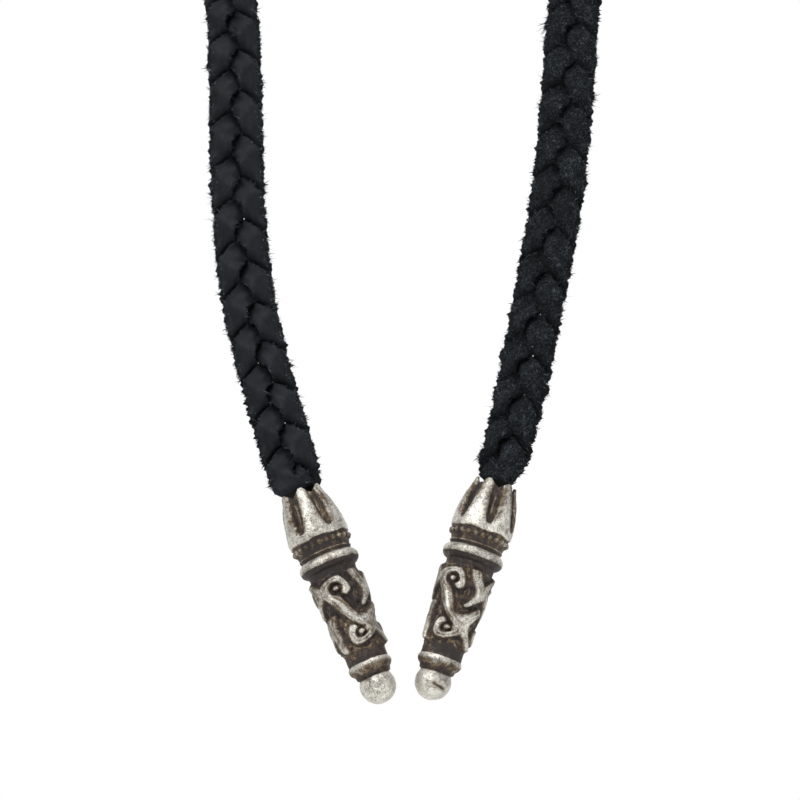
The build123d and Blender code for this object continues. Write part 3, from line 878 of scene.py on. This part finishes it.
def reliefOn(angles, radii, along):
    # Radius and brightness of the outside after the petals, the band, the pellets and the scrolls
    shaped = radii.copy()
    rubbedAndShaded = np.ones(len(radii))
    # petals: a soft crown between the grooves, with painted shade where they turn down into them
    petalTurn = np.abs(turnFrom(angles, tip["petals"])) / (math.pi / tip["petals"])
    onPetals = 1 - smoothStep(*tip["petalEnd"], along)
    shaped -= tip["petalCrown"] * (1 - petalTurn) ** 2 * onPetals
    depth, line, inGroove, shoulder = grooveAt(angles, radii, along)
    carved = shaped - depth + tip["grooveLine"] * line
    shaped = np.maximum(carved, tip["socketRadius"] + tip["thinEdge"])
    rubbedAndShaded -= 0.5 * shoulder
    rubbedAndShaded = np.minimum(rubbedAndShaded, 1 - smoothStep(0.12, 0.5, inGroove))
    rubbedAndShaded = np.maximum(rubbedAndShaded, 0.45 * line)
    # band under the petals, with its pellets
    scallop = tip["bandStart"] + tip["bandScallop"] * np.cos(tip["petals"] * angles)
    inBand = smoothStep(scallop, scallop + 0.16, along)
    inBand *= 1 - smoothStep(tip["bandEnd"] - 0.1, tip["bandEnd"], along)
    shaped -= tip["bandDepth"] * inBand
    rubbedAndShaded -= inBand
    fromPellet = turnFrom(angles, tip["pellets"], math.radians(tip["pelletTurn"]))
    apart = np.hypot(radii * fromPellet, along - onOutline("pellets")[1])
    pellet = np.sqrt(np.clip(1 - (apart / tip["pelletRadius"]) ** 2, 0, 1))
    shaped += tip["pelletRadius"] * pellet
    rubbedAndShaded = np.maximum(rubbedAndShaded, 0.5 * pellet)
    # body between the two rings
    bodyEnd = bodyStart + bodyLength
    onBody = smoothStep(bodyStart - 0.1, bodyStart + tip["reliefFade"], along)
    onBody *= 1 - smoothStep(bodyEnd - tip["reliefFade"], bodyEnd + 0.1, along)
    near = (along > bodyStart - 0.5) & (along < bodyEnd + 0.5)
    scroll, trace, spine = np.zeros((3, len(radii)))
    scroll[near], trace[near], spine[near] = scrollHeight(angles[near], radii[near], along[near])
    scroll *= onBody
    trace *= onBody
    shaped += tip["relief"] * scroll + tip["traceHeight"] * trace - tip["spineCut"] * spine * onBody
    ringMiddle, collarMiddle = onOutline("ringEdge")[1], onOutline("collarEdge")[1]
    ground = (along > ringMiddle + 0.25) & (along < collarMiddle - 0.6)
    rubbedAndShaded = np.where(ground, smoothStep(0.5, 1.05, scroll) * (1 - 0.4 * spine) + 0.32 * trace, rubbedAndShaded)
    shaped -= tip["collarTaper"] * smoothStep(collarMiddle - 0.3, onOutline("neck")[1], along)
    # the rings are bright on top only: darker below each edge, as painted shade on the sides turned from
    # the light above and as darkened silver on the lower faces
    for middle, shade, reach in ((ringMiddle, 0.4, 0.9), (collarMiddle, 0.75, 1.2)):
        rubbedAndShaded -= shade * smoothStep(middle - 0.35, middle + 0.4, along) * (along < middle + reach)
    rubbedAndShaded = np.clip(rubbedAndShaded, 0, 1)
    creases = [onOutline("cupBase")[1] + 0.15, (onOutline("collarFoot")[1] + onOutline("neck")[1]) / 2]
    for crease, reach in zip(creases, (0.35, 0.5)):
        rubbedAndShaded = rubbedAndShaded * smoothStep(reach * 0.4, reach, np.abs(along - crease))
    return shaped, rubbedAndShaded


def castingNoise(place):
    # Uneven skin of an old casting, in shares of its waves: soft dents and sharper pits
    soft = noise.noise(place * 0.55) * 0.5 + noise.noise(place * 1.7) * 0.4
    soft += noise.noise(place * 4.5) * 0.22
    pit = max(0, noise.noise(place * 3.1 + Vector((9, 4, 2))) - 0.42)
    return soft - 2.2 * pit


def dentOnBall(side, fromMiddle):
    # 1 along the middle of the ball's dent, on the side the viewer sees
    start, end, width = ballDents[side][:3]
    start, line = np.array(start), np.subtract(end, start)
    seen = fromMiddle[:, (0, 2)] - start
    share = np.clip(seen @ line / (line @ line), 0, 1)
    apart = np.linalg.norm(seen - share[:, None] * line, axis=1)
    return np.exp(-(apart / width) ** 2) * (fromMiddle[:, 1] < 0)


def makeTip(side, mouth, behind):
    axis = (mouth - behind).normalized()
    sideways = (Vector((1, 0, 0)) - axis * axis.x).normalized()
    turn = math.radians(tip["turns"][side])
    turned = sideways * math.cos(turn) + axis.cross(sideways) * math.sin(turn)
    place = Matrix((turned, axis.cross(turned), axis)).transposed()
    bm = bmesh.new()
    step = tip["rowStep"] * 2
    socket, depth = tip["socketRadius"], tip["socketDepth"]
    floorMiddle, floorEdge, mouthEdge = np.array(((0, depth), (socket, depth), (socket, 0)))
    inside = straight(floorMiddle, floorEdge, step) + straight(floorEdge, mouthEdge, step)
    profile = [bm.verts.new((radius, 0, along)) for radius, along in [*inside, mouthEdge, *outside]]
    edges = [bm.edges.new(pair) for pair in zip(profile, profile[1:])]
    bmesh.ops.spin(bm, geom=profile + edges, cent=(0, 0, 0), axis=(0, 0, 1), angle=2 * math.pi,
                   steps=tip["around"], use_merge=True)
    bmesh.ops.remove_doubles(bm, verts=bm.verts, dist=1e-4)
    bmesh.ops.recalc_face_normals(bm, faces=bm.faces)
    rubbedAndShadedLayer = bm.verts.layers.float.new("rubbedAndShaded")
    flat = np.array([vertex.co for vertex in bm.verts])
    radii, along = np.hypot(flat[:, 0], flat[:, 1]), flat[:, 2]
    angles = np.arctan2(flat[:, 1], flat[:, 0])
    rim = rimOf(angles)
    isInside = (radii < socket + 1e-3) & (along < depth + 1e-3)
    reach = np.where(isInside, depth, tip["grooveLength"])
    along = np.where(along < reach, rim + along * (reach - rim) / reach, along)
    onBall = along > tip["ballCenter"] - tip["ballRadius"] * 0.6
    profileRadii = np.where(onBall | isInside, radii, np.interp(along, outside[:, 1], outside[:, 0]))
    shaped, rubbedAndShaded = reliefOn(angles, profileRadii, along)
    shaped = np.where(isInside | onBall, radii, shaped)
    shaped = shaped - tip["pointBend"] * (1 - smoothStep(0, tip["bendLength"], along))
    rubbedAndShaded = np.where(isInside, 0, rubbedAndShaded)
    points = np.stack([shaped * np.cos(angles), shaped * np.sin(angles), along], axis=-1)
    dent = dentOnBall(side, (points - (0, 0, tip["ballCenter"])) @ np.array(place).T) * onBall
    rubbedAndShaded = rubbedAndShaded * (1 - ballDents[side][3] * dent)
    seed = Vector((tip["seed"], 0, 11 if side == "left" else 47))
    for vertex, point, inner, bright, dented in zip(bm.verts, points, isInside, rubbedAndShaded, dent):
        local = Vector(point)
        if not inner:
            wave = castingNoise(local + seed) * tip["castingWaves"]
            local += vertex.normal * (wave - tip["dentDepth"] * dented)
        vertex.co = (place @ local + mouth) * mm
        vertex[rubbedAndShadedLayer] = bright
    bm.normal_update()
    placeSmooth(f"tip_{side}_casting", bm, silver, "darkened_silver", [f"tip_{side}"])


def silverMaterial():
    # Cast sterling silver, blackened in a sulphur bath and rubbed bright again on its high parts: warm
    # brown-black in the hollows, creamy satin on the crests, pitted all over, with brassy edges between
    material, tree = newMaterial("blackened and rubbed cast silver")
    place = objectPlace(tree)
    wear = noiseAt(tree, place, 0.6 * mm, 6, 0.7)
    patches = noiseAt(tree, place, 2.6 * mm, 3)
    specks = noiseAt(tree, place, 0.15 * mm, 2, 0.6)
    # the tips' brightness attribute holds the rubbed crests and blackened hollows, and also painted shade
    # under the rings and on the petals' sides
    worn = calc(tree, "MULTIPLY_ADD", wear, 1.7, attribute(tree, "rubbedAndShaded"))
    level = remap(tree, calc(tree, "MULTIPLY_ADD", patches, 1.5, worn), 1.55, 2.75)
    color = ramp(tree, level, [(0.0, "#251c19"), (0.18, "#43362f"), (0.32, "#756144"), (0.42, "#7c746a"),
                               (0.62, "#aba69d"), (1.0, "#dfdcd3")])
    speckShade = ramp(tree, specks, [(0.38, "#3d352e"), (0.5, "#ffffff")])
    skin = bumped(tree, specks, 0.55, 0.06)
    return finishMaterial(material, {
        "Base Color": mixColors(tree, 0.65, color, speckShade, "MULTIPLY"),
        "Metallic": remap(tree, level, 0.1, 0.5, 0.15, 0.85),
        "Roughness": remap(tree, level, 0.2, 1, 0.6, 0.42),
        "Normal": bumped(tree, wear, 0.6, 0.1, skin)})


silver = silverMaterial()
mouthPlaces = [Vector(row[:3]) for row in braid["route"]]
makeTip("left", mouthPlaces[0], mouthPlaces[1])
makeTip("right", mouthPlaces[-1], mouthPlaces[-2])


# Floor, light and backdrop

studio = {
    "floorHeight": -250,  # mm, clear of the hanging tips
    "floorRadius": 1000,
    "paper": "#f4f4f2",
    "paperLift": 0.3,  # brightens the far floor for the eye alone
    "backGlow": 0.95,  # brightness of the white wall behind, and of the dimmer room in front
    "frontGlow": 0.12,
    "aim": (0, -90, -80),  # what the lamps point at, in mm
    # name, place in mm, size in mm, watts
    "lamps": [
        ("keyLamp", (-380, -560, 260), 300, 3.2),
        ("fillLamp", (480, -560, -20), 420, 1.6),
        ("topLamp", (60, -260, 620), 420, 2.6),
    ],
}


def paperMaterial():
    # Matt white studio paper: no gloss, a trace of tooth
    material, tree = newMaterial("matt studio paper")
    seen = addNode(tree, "ShaderNodeLightPath").outputs["Is Camera Ray"]
    return finishMaterial(material, {
        "Base Color": linearColor(studio["paper"]), "Roughness": 0.9, "Specular IOR Level": 0.1,
        "Emission Color": (1, 1, 1, 1),
        "Emission Strength": calc(tree, "MULTIPLY", seen, studio["paperLift"]),
        "Normal": bumped(tree, noiseAt(tree, objectPlace(tree), 3 * mm, 3), 0.1, 0.1)})


def makeFloor():
    bm = bmesh.new()
    bmesh.ops.create_circle(bm, cap_ends=True, segments=96, radius=studio["floorRadius"] * mm,
                            matrix=Matrix.Translation((0, 0, studio["floorHeight"] * mm)))
    mesh = meshFrom("floor", bm)
    mesh.materials.append(paperMaterial())
    floor = addObject("floor", mesh)


def makeLamps():
    aim = Vector(studio["aim"]) * mm
    for name, place, size, power in studio["lamps"]:
        light = bpy.data.lights.new(name, "AREA")
        light.shape = "DISK"
        light.size = size * mm
        light.energy = power
        lamp = addObject(name, light)
        lamp.location = Vector(place) * mm
        lamp.rotation_euler = (aim - lamp.location).to_track_quat("-Z", "Y").to_euler()


def makeWorld():
    # White to the eye; as a light, bright behind the necklace and dim on the viewer's side
    world = bpy.data.worlds.new("white studio")
    world.use_nodes = True
    tree = world.node_tree
    tree.nodes.clear()
    white = (1, 1, 1, 1)
    coordinates = addNode(tree, "ShaderNodeTexCoord")
    direction = addNode(tree, "ShaderNodeSeparateXYZ", inputs={"Vector": coordinates.outputs["Generated"]})
    glow = addNode(tree, "ShaderNodeMapRange", {"interpolation_type": "SMOOTHSTEP"}, {
        "Value": direction.outputs["Y"], "From Min": -0.5, "From Max": 0.6,
        "To Min": studio["frontGlow"], "To Max": studio["backGlow"]})
    room = addNode(tree, "ShaderNodeBackground", inputs={"Color": white, "Strength": glow.outputs[0]})
    wall = addNode(tree, "ShaderNodeBackground", inputs={"Color": white, "Strength": 1.0})
    seen = addNode(tree, "ShaderNodeLightPath").outputs["Is Camera Ray"]
    both = addNode(tree, "ShaderNodeMixShader", inputs={0: seen, 1: room.outputs[0], 2: wall.outputs[0]})
    addNode(tree, "ShaderNodeOutputWorld", inputs={"Surface": both.outputs[0]})
    scene.world = world


makeFloor()
makeLamps()
makeWorld()
scene.view_settings.view_transform = "Standard"
